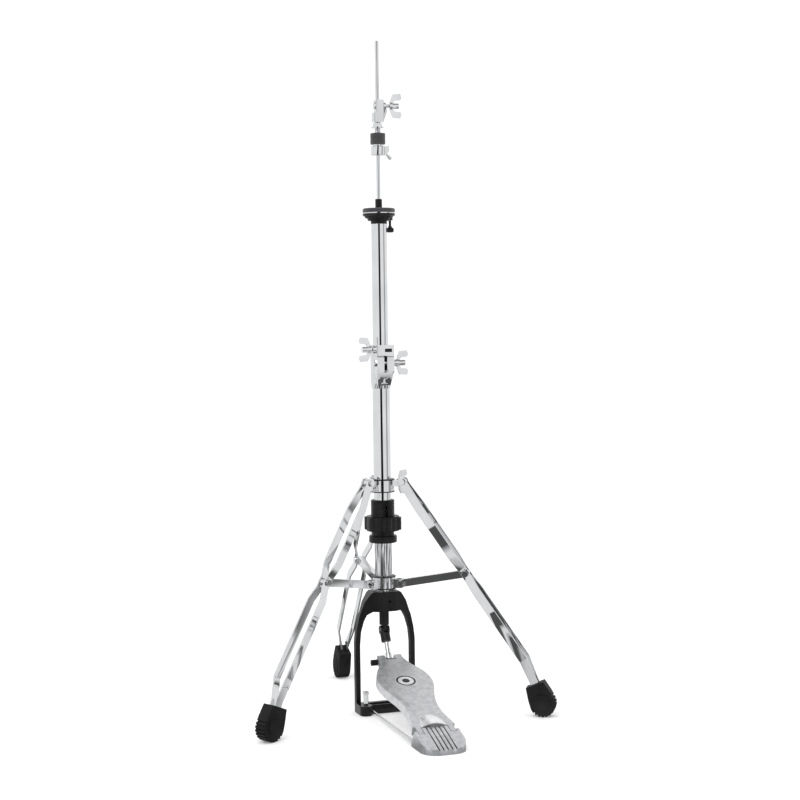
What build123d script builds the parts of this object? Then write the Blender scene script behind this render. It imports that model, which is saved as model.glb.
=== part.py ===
from build123d import *
from math import atan2, cos, degrees, hypot, pi, radians, sin, tan
import os

# Hi-hat stand: tripod of double-strap legs, black yoke base with a cast footboard,
# telescoping tube, pull rod, cymbal seat and clutch.  Millimetres, +Z up.
# Origin: on the floor, on the tube axis.  The pedal points along -Y.

# ---- driving dimensions ----------------------------------------------------------
TOTAL_HEIGHT = 1100.0        # floor to the tip of the pull rod
SEAT_HEIGHT = 804.0          # floor to the top of the upper tube
CLAMP_TOP = 588.5            # top face of the height clamp
LEG_SPREAD = 138.2           # radius of the mid pivots of the open legs
LOWER_TUBE_OD = 28.6
LOWER_TUBE_WALL = 1.3
UPPER_TUBE_OD = 25.4
UPPER_TUBE_WALL = 1.2
PULL_ROD_DIA = 6.35
YOKE_WIDTH = 103.0           # over the outsides of the two arms
YOKE_TOP = 200.0
PEDAL_SLOPE = 17.3           # footboard above the floor, degrees
LEG_TURN = -0.75             # rest turn of the tripod about the tube, degrees

# ---- clearances ------------------------------------------------------------------
RUN = 0.05                   # radial, shaft turning or sliding in a hole
SIDE = 0.3                   # between faces of pieces that move on each other
LOOSE = 1.1                  # radial, at a pivot that is left open

# ---- tripod ----------------------------------------------------------------------
COLLAR_R = 19.5
COLLAR_HEIGHT = 18.0
BUSH_R = 16.2
RING_R = 20.4
RING_THICK = 1.7
LOWER_COLLAR_Z = 203.4       # underside of the lower collar's lower ring
UPPER_COLLAR_Z = 364.0       # underside of the upper collar's lower ring
TOP_PIVOT_R = 34.5
TOP_PIVOT_Z = 381.0
LOW_PIVOT_R = 30.0
LOW_PIVOT_Z = 213.0
MID_PIVOT_Z = 231.4
EAR_THICK = 9.0
EAR_R = 7.5
PLATE = 3.0                  # strap and fork plate thickness
STRAP_WIDTH = 14.0
STRAP_SPREAD = 12.0          # strap inner face to the leg's middle plane
STRAP_BENDS = (12.0, 49.0, 33.0, 10.0)   # from top pivot, to spread; from mid pivot, back in
KNEE = 168.0                 # mid pivot to the bend above the foot
KNEE_BEND = 12.0             # degrees towards the vertical
FOOT_STRAP = 58.0            # strap length below the knee
PIVOT_BOLT_DIA = 6.0
BRACE_HEIGHT = 13.0
BRACE_WALL = 1.6
FOOT_WIDE = 42.0
FOOT_TOP = 31.0
FOOT_THICK = 25.0
FOOT_TALL = 55.0
FOOT_DISC_R = 13.0
FOOT_NIP = 3.8               # strap inner face to the middle plane inside the foot
TREAD_PITCH = 17.0           # degrees
TREAD_DEEP = 2.0
TREAD_GAP = 2.2
COLLAR_WING_AZ = 28.5        # between the right leg and the rear leg, before LEG_TURN
LEG_ANGLES = {"right": -30.0, "left": -150.0, "rear": 90.0}

# ---- height clamp, memory lock, upper tube ---------------------------------------
CLAMP_HEIGHT = 53.5
CLAMP_R = 16.9
CLAMP_FOOT_R = 15.6
SLOT_WIDTH = 5.0
LUG_FRONT = 27.0             # lug face in front of the tube axis
LUG_HALF = 14.7
CLAMP_BOLT = (-19.0, -11.5)  # y of the bolt, z below the clamp top
CLAMP_BOLT_DIA = 6.0
NUT_SPACER = 5.0
LOCK_GAP = 0.5
LOCK_HEIGHT = 17.6
LOCK_BOLT_Z = 10.5           # above the underside of the lock
TUBE_HIDDEN = 284.0          # upper tube from its top to its lower end
WING_SPAN = 20.0
HUB_R = 4.6
HUB_LONG = 15.0

# ---- seat ------------------------------------------------------------------------
SEAT_DIA = 53.0
SEAT_NECK_DIA = 24.5
CUP_HEIGHT = 16.3            # above the tube
PLATE_THICK = 1.8
FELT_THICK = 7.0
SEAT_SLEEVE_DIA = 11.2
SEAT_SLEEVE_TOP = 40.5       # above the tube
TILT_SCREW_R = 19.0

# ---- clutch ----------------------------------------------------------------------
CLUTCH_TOP = 95.0            # below the rod tip
CLUTCH_BODY = 36.0
CLUTCH_THREAD_DIA = 10.0
CLUTCH_FLANGE_DIA = 20.5
CLUTCH_FELT_DIA = 24.5
CLUTCH_NUT_DIA = 23.0

# ---- yoke base -------------------------------------------------------------------
ARM_WIDTH = 7.8
ARM_DEEP = 10.5
HUB_DEEP = 38.0
ARCH_TOP = 167.5
SOCKET_DEEP = 28.0
BAR_HEIGHT = 14.0
BAR_FRONT = -23.0
BAR_BACK = 8.0
BOSS = (41.0, -24.0, 10.5, 16.0)   # x, y, radius, height of the spur bosses
SPUR_DIA = 8.0
SPUR_TOP = 40.0
ROD_DIA = 4.0                # radius rods
ROD_Z = 8.0

# ---- spring housing --------------------------------------------------------------
HOUSING_R = 19.5
HOUSING_Z = (280.6, 292.0, 300.0, 351.0)   # flange, neck, thread, top
FLANGE_R = 23.0
THREAD_PITCH = 2.0
THREAD_DEEP = 0.7
KNOB_R = 31.0
KNOB_HEIGHT = 24.0
KNOB_LOBES = 6
FOLLOWER_THICK = 4.0
INDICATOR_SLOT = 5.0

# ---- footboard -------------------------------------------------------------------
HINGE = (-251.8, 13.7)       # y, z of the heel hinge
BOARD_RISE = 11.0            # top face above the hinge axis
BOARD_LONG = 243.0
BOARD_THICK = 5.0
SKIRT = 14.0                 # depth of the side walls below the top face
SKIRT_WALL = 4.0
PANEL_RISE = 1.4
PANEL_INSET = 9.0
HINGE_HALF = 30.2            # half width over the board's knuckles
KNUCKLE_LONG = 17.0          # along the board, beyond it the board has its full width
HINGE_PIN_DIA = 6.0
HEEL_HALF = 36.0
HEEL_END = -304.0
HEEL_EDGE = 8.0
HEEL_LIP = 5.0               # height of the plate under the board's knuckles
TONGUE_HALF = 21.0
TONGUE_LONG = 13.0
RIB_COUNT = 6
TOE_PIN = (-26.0, 86.0)      # y, z at rest
TOE_PIN_DIA = 5.0
TOE_NOTCH_HALF = 8.0
TOE_HALF = 21.1              # half width over the toe pin
LINK_TOP_Z = 134.0
LINK_HEAD_R = 8.0
BADGE_R = 17.0
BADGE_Y = 153.5              # along the board from the hinge

BASE_UP = (Align.CENTER, Align.CENTER, Align.MIN)


# ---- plain shapes ----------------------------------------------------------------
def round_bar(r, z0, z1, at=(0.0, 0.0)):
    """Upright round bar from z0 to z1."""
    return Pos(at[0], at[1], z0) * Cylinder(r, z1 - z0, align=BASE_UP)


def tube(r_out, r_in, z0, z1, at=(0.0, 0.0)):
    """Upright tube from z0 to z1."""
    return round_bar(r_out, z0, z1, at) - round_bar(r_in, z0 - 1, z1 + 1, at)


def block(x0, x1, y0, y1, z0, z1):
    """Box between two corners."""
    size = (x1 - x0, y1 - y0, z1 - z0)
    return Pos((x0 + x1) / 2, (y0 + y1) / 2, (z0 + z1) / 2) * Box(*size)


def rod(p, q, r):
    """Round bar from point p to point q."""
    start = Vector(*p)
    run = Vector(*q) - start
    return Plane(origin=start, z_dir=run) * Cylinder(r, run.length, align=BASE_UP)


def turned(points):
    """Solid of revolution about Z from (radius, z) points."""
    return revolve(Plane.XZ * make_face(Polyline(*points, close=True)), axis=Axis.Z)


def plate(points, plane, half):
    """Outline in a plane, thickened by half to each side."""
    return extrude(plane * make_face(Polyline(*points, close=True)), amount=half, both=True)


def one(shape):
    """The single solid of a shape."""
    return shape.solids()[0] if len(shape.solids()) == 1 else shape


def save(name, *shapes):
    """Write one node: its solids side by side."""
    solids = [s for shape in shapes for s in shape.solids()]
    for s in solids:
        s.label = name
    node = solids[0] if len(solids) == 1 else Compound(label=name, children=solids)
    export_step(node, f"parts/{name}.step")


# ---- wing bolts ------------------------------------------------------------------
def wing_bolt(shaft_r, shaft_long, bore_r=0.0):
    """Wing bolt along +X: shaft from x=0, then the hub with its two swept wings."""
    x = shaft_long
    hub = Plane.YZ.offset(x) * Cylinder(HUB_R, HUB_LONG, align=BASE_UP)
    collar = Plane.YZ.offset(x) * Cylinder(HUB_R + 1.4, 4.0, align=BASE_UP)
    outline = [(x + 0.4, 2.0), (x + 5.0, 2.0), (x + 8.5, 8.6), (x + 19.0, 9.8), (x + 20.5, 14.0),
               (x + 18.5, WING_SPAN), (x + 6.0, WING_SPAN - 0.8), (x + 2.0, 11.0)]
    wing = plate(outline, Plane.XZ, 1.8)
    bolt = hub + collar + wing + mirror(wing, about=Plane.XY)
    if shaft_r > 0:
        bolt += Plane.YZ * Cylinder(shaft_r, shaft_long + 1, align=BASE_UP)
    if bore_r > 0:
        bolt -= Plane.YZ.offset(x - 1) * Cylinder(bore_r, HUB_LONG + 2, align=BASE_UP)
    return one(bolt)


# ---- tube and rods ---------------------------------------------------------------
LOWER_R = LOWER_TUBE_OD / 2
LOWER_BORE = LOWER_R - LOWER_TUBE_WALL
UPPER_R = UPPER_TUBE_OD / 2
UPPER_BORE = UPPER_R - UPPER_TUBE_WALL
ROD_R = PULL_ROD_DIA / 2
CLAMP_Z = CLAMP_TOP - CLAMP_HEIGHT
TUBE_END = CLAMP_TOP - 23.5
SLOT_LOW = HOUSING_Z[2] + 4.0
SLOT_HIGH = HOUSING_Z[3] - 2.0
SLOT_HALF = INDICATOR_SLOT / 2
FOLLOWER_Z = HOUSING_Z[2] + 6.0
PIN_REACH = HOUSING_R + 2.0


def lower_tube():
    body = tube(LOWER_R, LOWER_BORE, YOKE_TOP - SOCKET_DEEP, TUBE_END)
    return body - block(-SLOT_HALF, SLOT_HALF, -LOWER_R - 1, LOWER_R + 1, SLOT_LOW, SLOT_HIGH)


def spring_housing():
    """Threaded barrel around the tube, with a flange below and an indicator slot."""
    flange_z, neck_z, thread_z, top_z = HOUSING_Z
    edge = FLANGE_R - 1.0
    points = [(LOWER_R, flange_z), (edge, flange_z), (FLANGE_R, flange_z + 1), (FLANGE_R, neck_z - 1),
              (edge, neck_z), (HOUSING_R - 1.0, neck_z), (HOUSING_R - 1.0, thread_z)]
    z = thread_z
    while z + THREAD_PITCH < top_z - 1:
        points += [(HOUSING_R, z + 0.3 * THREAD_PITCH), (HOUSING_R, z + 0.6 * THREAD_PITCH),
                   (HOUSING_R - THREAD_DEEP, z + THREAD_PITCH)]
        z += THREAD_PITCH
    points += [(HOUSING_R, z + 0.3), (HOUSING_R, top_z - 1.0), (HOUSING_R - 1.0, top_z), (LOWER_R, top_z)]
    barrel = turned(points)
    return barrel - block(-SLOT_HALF, SLOT_HALF, -FLANGE_R, FLANGE_R, SLOT_LOW, SLOT_HIGH)


def spring_follower():
    """Spring seat inside the tube, with two arms out through the slots into the knob."""
    seat = tube(LOWER_BORE - SIDE, LOWER_ROD_R + 1.0, FOLLOWER_Z, FOLLOWER_Z + FOLLOWER_THICK)
    half = SLOT_HALF - SIDE
    arms = block(-half, half, -PIN_REACH, PIN_REACH, FOLLOWER_Z, FOLLOWER_Z + FOLLOWER_THICK)
    hole = round_bar(LOWER_ROD_R + 1.0, FOLLOWER_Z - 1, FOLLOWER_Z + FOLLOWER_THICK + 1)
    return one(seat + arms - hole)


def tension_knob():
    """Lobed nut on the barrel; an inner groove carries the follower's arms."""
    z0 = HOUSING_Z[2]
    body = round_bar(KNOB_R - 4.0, z0, z0 + KNOB_HEIGHT)
    lobe_r = 8.5
    for k in range(KNOB_LOBES):
        a = radians(360.0 / KNOB_LOBES * (k + 0.5))
        at = ((KNOB_R - lobe_r) * cos(a), (KNOB_R - lobe_r) * sin(a))
        body += round_bar(lobe_r, z0 + 1.5, z0 + KNOB_HEIGHT - 1.5, at)
    body -= round_bar(HOUSING_R + SIDE, z0 - 1, z0 + KNOB_HEIGHT + 1)
    groove = round_bar(PIN_REACH + 1.0, FOLLOWER_Z - SIDE, FOLLOWER_Z + FOLLOWER_THICK + SIDE)
    return one(body - groove)


LOWER_ROD_R = 4.0
SPRING_WIRE = 2.0
SPRING_R = 8.5
SPRING_LOW = FOLLOWER_Z + FOLLOWER_THICK
SPRING_LONG = 60.0
SPRING_TURNS = 7
STOP_Z = SPRING_LOW + SPRING_LONG
STOP_R = 11.5
ROD_JOIN = 470.0


def pull_spring():
    """Coil spring that lifts the pull rod, between the follower and the rod's stop."""
    rise = SPRING_LONG - SPRING_WIRE - 0.4
    coil = Helix(pitch=rise / SPRING_TURNS, height=rise, radius=SPRING_R)
    section = Plane(origin=coil @ 0, z_dir=coil % 0) * Circle(SPRING_WIRE / 2)
    return Pos(0, 0, SPRING_LOW + SPRING_WIRE / 2 + 0.2) * sweep(section, path=coil, is_frenet=True)


def lower_rod():
    """Lower half of the pull rod with its spring stop and the socket for the upper half."""
    bar = round_bar(LOWER_ROD_R, LINK_TOP_Z + 12.0, ROD_JOIN - 30.0)
    stop = round_bar(STOP_R, STOP_Z, STOP_Z + 5.0)
    socket = round_bar(6.0, ROD_JOIN - 32.0, ROD_JOIN)
    bore = round_bar(ROD_R, ROD_JOIN - 20.0, ROD_JOIN + 1)
    return one(bar + stop + socket - bore)


def upper_rod():
    bar = round_bar(ROD_R, ROD_JOIN - 20.0, TOTAL_HEIGHT)
    return bar.chamfer(0.8, None, bar.edges().sort_by(Axis.Z)[-1:])


# ---- tripod ----------------------------------------------------------------------
TOP_PIVOT = Vector(TOP_PIVOT_R, 0, TOP_PIVOT_Z)
MID_PIVOT = Vector(LEG_SPREAD, 0, MID_PIVOT_Z)
LOW_PIVOT = Vector(LOW_PIVOT_R, 0, LOW_PIVOT_Z)
LEG_RUN = MID_PIVOT - TOP_PIVOT
LEG_DIR = LEG_RUN.normalized()
LEG_UP = Vector(-LEG_DIR.Z, 0, LEG_DIR.X)       # square to the leg, outwards and up
LEG_FACE = Plane(origin=TOP_PIVOT, x_dir=LEG_DIR, z_dir=LEG_UP)
LEG_SIDE = Plane(origin=TOP_PIVOT, x_dir=LEG_DIR, z_dir=Vector(0, -1, 0))
MID = LEG_RUN.length
KNEE_AT = MID + KNEE
STRAP_IN = EAR_THICK / 2 + SIDE                 # strap inner face at the pivots
STRAP_OUT = STRAP_IN + PLATE
HEAD_TALL = 3.2
BOLT_R = PIVOT_BOLT_DIA / 2


def collar(z0):
    """Plain cast ring between its two bushes."""
    return tube(COLLAR_R, BUSH_R, z0 + RING_THICK, z0 + RING_THICK + COLLAR_HEIGHT)


def collar_bushes(z0):
    """Two flanged bushes that run on the tube and carry the ring."""
    mid = z0 + RING_THICK + COLLAR_HEIGHT / 2
    top = z0 + 2 * RING_THICK + COLLAR_HEIGHT
    bushes = []
    for flange, body in (((z0, z0 + RING_THICK), (z0, mid)), ((top - RING_THICK, top), (mid, top))):
        bushes.append(tube(BUSH_R, LOWER_R + RUN, *body) + tube(RING_R, LOWER_R + RUN, *flange))
    return bushes


def pin_hole(at, r, half=30.0):
    """Cutter for a pivot hole square to the leg's middle plane."""
    return rod((at.X, -half, at.Z), (at.X, half, at.Z), r)


EAR_TOP = UPPER_COLLAR_Z + RING_THICK + COLLAR_HEIGHT - 0.5


def upper_collar():
    """Ring with one flat ear for each leg and a boss for the wing bolt."""
    ring = collar(UPPER_COLLAR_Z)
    half = EAR_THICK / 2
    ear = block(BUSH_R + 1.0, TOP_PIVOT_R, -half, half, TOP_PIVOT_Z - EAR_R, EAR_TOP)
    ear += rod((TOP_PIVOT_R, -half, TOP_PIVOT_Z), (TOP_PIVOT_R, half, TOP_PIVOT_Z), EAR_R - 0.5)
    ear -= pin_hole(TOP_PIVOT, BOLT_R)
    for a in LEG_ANGLES.values():
        ring += Rot(0, 0, a) * ear
    boss = rod((BUSH_R + 1.0, 0, WING_Z), (COLLAR_R + 8.0, 0, WING_Z), 6.0)
    boss = boss - rod((BUSH_R, 0, WING_Z), (COLLAR_R + 9.0, 0, WING_Z), 3.0 + RUN)
    cut = rod((BUSH_R, 0, WING_Z), (COLLAR_R + 1.0, 0, WING_Z), 3.0 + RUN)
    ring = ring - Rot(0, 0, COLLAR_WING_AZ) * cut + Rot(0, 0, COLLAR_WING_AZ) * boss
    return Rot(0, 0, LEG_TURN) * one(ring)


WING_Z = UPPER_COLLAR_Z + RING_THICK + COLLAR_HEIGHT - 7.0


def collar_wing_bolt():
    start = BUSH_R + 1.5
    bolt = Pos(start, 0, WING_Z) * wing_bolt(3.0, COLLAR_R + 18.0 - start)
    return Rot(0, 0, LEG_TURN + COLLAR_WING_AZ) * bolt


def lower_collar():
    """Ring with a fork for each brace."""
    ring = collar(LOWER_COLLAR_Z)
    low, high = LOW_PIVOT_Z - EAR_R, LOW_PIVOT_Z + EAR_R
    fork = block(BUSH_R + 1.0, LOW_PIVOT_R, -STRAP_OUT, STRAP_OUT, low, high)
    fork += rod((LOW_PIVOT_R, -STRAP_OUT, LOW_PIVOT_Z), (LOW_PIVOT_R, STRAP_OUT, LOW_PIVOT_Z), EAR_R)
    slot_in = LOW_PIVOT_R - BRACE_HEIGHT / 2 - 1.0
    fork -= block(slot_in, LOW_PIVOT_R + 20, -STRAP_IN, STRAP_IN, low - 5, high + 5)
    fork -= pin_hole(LOW_PIVOT, BOLT_R)
    for a in LEG_ANGLES.values():
        ring += Rot(0, 0, a) * fork
    return Rot(0, 0, LEG_TURN) * one(ring)


def pivot_bolt(at, gap=0.0):
    """Round-headed bolt across two plates, with a nut on the far side."""
    out = STRAP_OUT + gap
    y = out + HEAD_TALL
    bolt = rod((at.X, -y, at.Z), (at.X, y, at.Z), BOLT_R)
    head = rod((at.X, -y, at.Z), (at.X, -out, at.Z), 5.4)
    side = Plane(origin=(at.X, out, at.Z), x_dir=(1, 0, 0), z_dir=(0, 1, 0))
    nut = extrude(side * RegularPolygon(5.6, 6), amount=HEAD_TALL)
    return one(bolt + head + nut)


def set_of_three(shape):
    """The same piece at each leg."""
    return [Rot(0, 0, a + LEG_TURN) * shape for a in LEG_ANGLES.values()]


def leg_straps():
    """Two flat straps, together at the pivots and spread between them, bent at the knee."""
    out_at, wide_at, back, flat = STRAP_BENDS
    end = KNEE_AT + FOOT_STRAP
    line = [(-EAR_R - 2, STRAP_IN), (out_at, STRAP_IN), (wide_at, STRAP_SPREAD),
            (MID - back, STRAP_SPREAD), (MID - flat, STRAP_IN), (MID + flat, STRAP_IN),
            (MID + back, STRAP_SPREAD), (KNEE_AT, STRAP_SPREAD), (KNEE_AT + 34.0, FOOT_NIP), (end, FOOT_NIP)]
    outer = [(u, v + PLATE) for u, v in reversed(line)]
    half = STRAP_WIDTH / 2
    lean = radians(KNEE_BEND)
    mitre = half * tan(lean / 2)
    tip_u, tip_w = KNEE_AT + FOOT_STRAP * cos(lean), -FOOT_STRAP * sin(lean)
    side_u, side_w = half * sin(lean), half * cos(lean)
    band = [(0, half), (KNEE_AT + mitre, half), (tip_u + side_u, tip_w + side_w),
            (tip_u - side_u, tip_w - side_w), (KNEE_AT - mitre, -half), (0, -half)]
    width = plate(band, LEG_SIDE, 40.0) + pin_hole(TOP_PIVOT, EAR_R + 0.5, 40.0)
    near = plate(line + outer, LEG_FACE, 60.0) & width
    near -= pin_hole(TOP_PIVOT, BOLT_R + RUN)
    near -= pin_hole(MID_PIVOT, BOLT_R)
    return [one(near), one(mirror(near, about=Plane.XZ))]


def leg_rivets():
    """Rivet heads of the mid pivot; each stops short of the brace's tongue."""
    rivets = []
    for s in (-1, 1):
        at = MID_PIVOT
        shank = rod((at.X, s * STRAP_IN, at.Z), (at.X, s * (STRAP_OUT + 1.0), at.Z), BOLT_R)
        head = rod((at.X, s * STRAP_OUT, at.Z), (at.X, s * (STRAP_OUT + 2.6), at.Z), 5.4)
        rivets.append(one(shank + head))
    return rivets


FOOT_DIR = Vector(LEG_DIR.X * cos(radians(KNEE_BEND)) - LEG_UP.X * sin(radians(KNEE_BEND)), 0,
                  LEG_DIR.Z * cos(radians(KNEE_BEND)) - LEG_UP.Z * sin(radians(KNEE_BEND)))
KNEE_POINT = TOP_PIVOT + LEG_DIR * KNEE_AT
FOOT_ROUND = FOOT_WIDE / 2
FOOT_CENTRE = KNEE_POINT + FOOT_DIR * ((KNEE_POINT.Z - FOOT_ROUND) / -FOOT_DIR.Z)


def foot(straps):
    """Rubber foot: round tread below, flat top with the straps let in, a disc on each side."""
    side = Plane(origin=FOOT_CENTRE, x_dir=FOOT_DIR, z_dir=Vector(0, -1, 0))
    half = FOOT_THICK / 2
    top = -(FOOT_TALL - FOOT_ROUND)
    flank = FOOT_ROUND - 1.5
    neck = [(0, -FOOT_ROUND), (-14.0, -flank), (top, -FOOT_TOP / 2), (top, FOOT_TOP / 2), (-14.0, flank), (0, FOOT_ROUND)]
    outline = make_face(Polyline(*neck, close=True)) + Circle(FOOT_ROUND)
    body = extrude(side * outline, amount=half - 1.5, both=True)
    disc = Pos(*(FOOT_CENTRE + FOOT_DIR * -3.0)) * Rot(90, 0, 0) * Cylinder(FOOT_DISC_R, FOOT_THICK)
    body = body + disc
    # grooves around the tread leave a ridge on the floor
    down = degrees(atan2(-FOOT_DIR.X, -FOOT_DIR.Z))
    for k in range(-3, 8):
        turn = down + TREAD_PITCH * (k + 0.5)
        cutter = Pos(FOOT_ROUND, 0, 0) * Box(2 * TREAD_DEEP, TREAD_GAP, FOOT_THICK + 2)
        body -= side * (Rot(0, 0, turn) * cutter)
    for strap in straps:
        body -= strap
    return one(body)


def brace():
    """Channel between the lower collar and the mid pivot, closed on top."""
    run = MID_PIVOT - LOW_PIVOT
    side = Plane(origin=LOW_PIVOT, x_dir=run, z_dir=Vector(0, -1, 0))
    half = BRACE_HEIGHT / 2
    length = run.length
    outline = Pos(length / 2, 0) * SlotCenterToCenter(length, BRACE_HEIGHT)
    body = extrude(side * outline, amount=EAR_THICK / 2, both=True)
    hollow = Pos(length / 2, -BRACE_WALL, 0) * Box(length - 26.0, BRACE_HEIGHT, EAR_THICK - 2 * BRACE_WALL)
    body -= side * hollow
    body -= pin_hole(LOW_PIVOT, BOLT_R + RUN)
    body -= pin_hole(MID_PIVOT, BOLT_R + LOOSE)
    return one(body)


# ---- height clamp ----------------------------------------------------------------
BOLT_Y, BOLT_DROP = CLAMP_BOLT
BOLT_Z = CLAMP_TOP + BOLT_DROP
LOCK_Z = CLAMP_TOP + LOCK_GAP


def height_clamp():
    """Split cast clamp on the lower tube, with its slot and bolt lugs in front."""
    barrel = turned([(LOWER_R, CLAMP_Z), (CLAMP_FOOT_R, CLAMP_Z), (CLAMP_R, CLAMP_Z + 10),
                     (CLAMP_R, CLAMP_TOP), (LOWER_R, CLAMP_TOP)])
    side = [(-5.0, CLAMP_TOP), (-LUG_FRONT + 2, CLAMP_TOP), (-LUG_FRONT, CLAMP_TOP - 2),
            (-LUG_FRONT, CLAMP_TOP - 25), (-LUG_FRONT + 4, CLAMP_TOP - 30),
            (-18.5, CLAMP_TOP - 48), (-5.0, CLAMP_TOP - 48)]
    lug = plate(side, Plane.YZ, LUG_HALF)
    front = [(-LUG_HALF, CLAMP_TOP), (LUG_HALF, CLAMP_TOP), (LUG_HALF, CLAMP_TOP - 26),
             (10.5, CLAMP_TOP - 48), (-10.5, CLAMP_TOP - 48), (-LUG_HALF, CLAMP_TOP - 26)]
    lug = lug & plate(front, Plane.XZ, 40.0)
    body = barrel + lug - round_bar(LOWER_R, CLAMP_Z - 1, CLAMP_TOP + 1)
    body -= block(-SLOT_WIDTH / 2, SLOT_WIDTH / 2, -LUG_FRONT - 1, 0, CLAMP_TOP - 27, CLAMP_TOP + 1)
    body -= rod((-40, BOLT_Y, BOLT_Z), (40, BOLT_Y, BOLT_Z), CLAMP_BOLT_DIA / 2)
    body -= rod((0, -40, CLAMP_TOP - 40), (0, -17.5, CLAMP_TOP - 40), 2.6)
    return one(body)


def clamp_bushing():
    """Nylon sleeve in the clamp; the upper tube slides in it."""
    return tube(LOWER_R, UPPER_R + RUN, TUBE_END, CLAMP_TOP)


def clamp_bolt():
    """Hexagon-headed bolt across the clamp's lugs."""
    r = CLAMP_BOLT_DIA / 2
    shank = rod((-LUG_HALF, BOLT_Y, BOLT_Z), (LUG_HALF + NUT_SPACER + 12.0, BOLT_Y, BOLT_Z), r)
    side = Plane(origin=(-LUG_HALF, BOLT_Y, BOLT_Z), x_dir=(0, 1, 0), z_dir=(-1, 0, 0))
    head = extrude(side * RegularPolygon(6.0, 6), amount=4.5)
    return one(shank + head)


def height_wing_nut():
    bore = CLAMP_BOLT_DIA / 2 + RUN
    start = LUG_HALF + SIDE
    nut = wing_bolt(0.0, start + NUT_SPACER, bore)
    spacer = Plane.YZ.offset(start) * (Cylinder(5.2, NUT_SPACER + 1, align=BASE_UP) - Cylinder(bore, 9, align=BASE_UP))
    return Pos(0, BOLT_Y, BOLT_Z) * one(nut + spacer)


def memory_lock():
    """Clamp ring on the upper tube with a square front and a round boss for its bolt."""
    z1 = LOCK_Z + LOCK_HEIGHT
    front = block(-LUG_HALF, LUG_HALF, -LUG_FRONT, 0, LOCK_Z, z1)
    front = front.fillet(2.0, front.edges().filter_by(Axis.Z))
    body = round_bar(CLAMP_R, LOCK_Z, z1) + front
    z = LOCK_Z + LOCK_BOLT_Z
    body += rod((-LUG_HALF - 6.0, BOLT_Y, z), (0, BOLT_Y, z), 6.6)
    body -= round_bar(UPPER_R + RUN, LOCK_Z - 1, z1 + 1)
    body -= rod((-LUG_HALF - 7.0, BOLT_Y, z), (6.0, BOLT_Y, z), CLAMP_BOLT_DIA / 2 + RUN)
    body -= block(-CLAMP_R - 1, -UPPER_R + 1, 2.0, 4.0, LOCK_Z - 1, z1 + 1)
    return one(body)


def memory_wing_bolt():
    bolt = wing_bolt(CLAMP_BOLT_DIA / 2, LUG_HALF + 6.0 + 2.0 + 4.0)
    return Pos(4.0, BOLT_Y, LOCK_Z + LOCK_BOLT_Z) * (Rot(0, 180, 0) * bolt)


def upper_tube():
    return tube(UPPER_R, UPPER_BORE, SEAT_HEIGHT - TUBE_HIDDEN, SEAT_HEIGHT)


# ---- seat ------------------------------------------------------------------------
PLATE_Z = SEAT_HEIGHT + CUP_HEIGHT + SIDE
FELT_Z = PLATE_Z + PLATE_THICK
SLEEVE_R = SEAT_SLEEVE_DIA / 2
SEAT_R = SEAT_DIA / 2
LUG_Z = SEAT_HEIGHT + 6.0


def seat_base():
    """Stepped cup plugged into the tube, with a lug for the tilt screw."""
    z = SEAT_HEIGHT
    neck = SEAT_NECK_DIA / 2
    guide = ROD_R + RUN
    plug = UPPER_BORE
    body = turned([(guide, z - 20), (plug, z - 20), (plug, z), (UPPER_R, z), (neck + 1, z + 1), (neck + 1, z + 5),
                   (18.0, z + 5.0), (19.0, z + 8.5), (22.5, z + 9.5), (23.5, z + 12.0), (SEAT_R, z + 13.5),
                   (SEAT_R, z + CUP_HEIGHT), (guide, z + CUP_HEIGHT)])
    lug = round_bar(4.5, LUG_Z, z + 14.0, (TILT_SCREW_R, 0))
    body += lug
    body -= round_bar(2.0 + RUN, z, z + CUP_HEIGHT + 1, (TILT_SCREW_R, 0))
    body -= round_bar(SLEEVE_R - 0.8, z + 4.0, z + CUP_HEIGHT + 1)
    return one(body)


def seat_sleeve():
    """Black sleeve that centres the lower cymbal on the rod."""
    seat = FELT_Z + FELT_THICK
    body = tube(SLEEVE_R, ROD_R + RUN, seat, SEAT_HEIGHT + SEAT_SLEEVE_TOP)
    body += tube(SLEEVE_R - 0.8, ROD_R + RUN, SEAT_HEIGHT + 4.0, seat)
    return body.chamfer(0.8, None, body.edges().group_by(Axis.Z)[-1].sort_by(SortBy.RADIUS)[-1:])


def seat_plate():
    return tube(SEAT_R - 0.5, SLEEVE_R + 2.6, PLATE_Z, PLATE_Z + PLATE_THICK)


def seat_felt():
    z1 = FELT_Z + FELT_THICK
    inner = SLEEVE_R + 2.6
    return turned([(inner, FELT_Z), (SEAT_R - 0.8, FELT_Z), (SEAT_R, FELT_Z + 0.8), (SEAT_R, z1 - 1.6),
                   (SEAT_R - 2.0, z1), (inner, z1)])


def tilt_screw():
    """Thumb screw that hangs below the lug and lifts one side of the seat plate."""
    z1 = SEAT_HEIGHT + CUP_HEIGHT
    at = (TILT_SCREW_R, 0)
    shaft = round_bar(2.0, SEAT_HEIGHT - 8.0, z1, at)
    head = block(TILT_SCREW_R - 6.0, TILT_SCREW_R + 6.0, -1.5, 1.5, SEAT_HEIGHT - 14.0, SEAT_HEIGHT - 6.0)
    head = head.fillet(3.0, head.edges().filter_by(Axis.Y))
    return one(shaft + head + round_bar(3.2, SEAT_HEIGHT - 9.0, SEAT_HEIGHT - 4.0, at))


# ---- clutch ----------------------------------------------------------------------
BODY_TOP = TOTAL_HEIGHT - CLUTCH_TOP
BODY_Z = BODY_TOP - CLUTCH_BODY
CLUTCH_WING_Z = BODY_TOP - 9.4
THREAD_R = CLUTCH_THREAD_DIA / 2
FLANGE_Z = BODY_Z - 10.0
FELT_TOP = BODY_TOP - 54.0
NUT_TOP = BODY_TOP - 75.0
NUT_HEIGHT = 15.0
THREAD_LOW = NUT_TOP - NUT_HEIGHT


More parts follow.
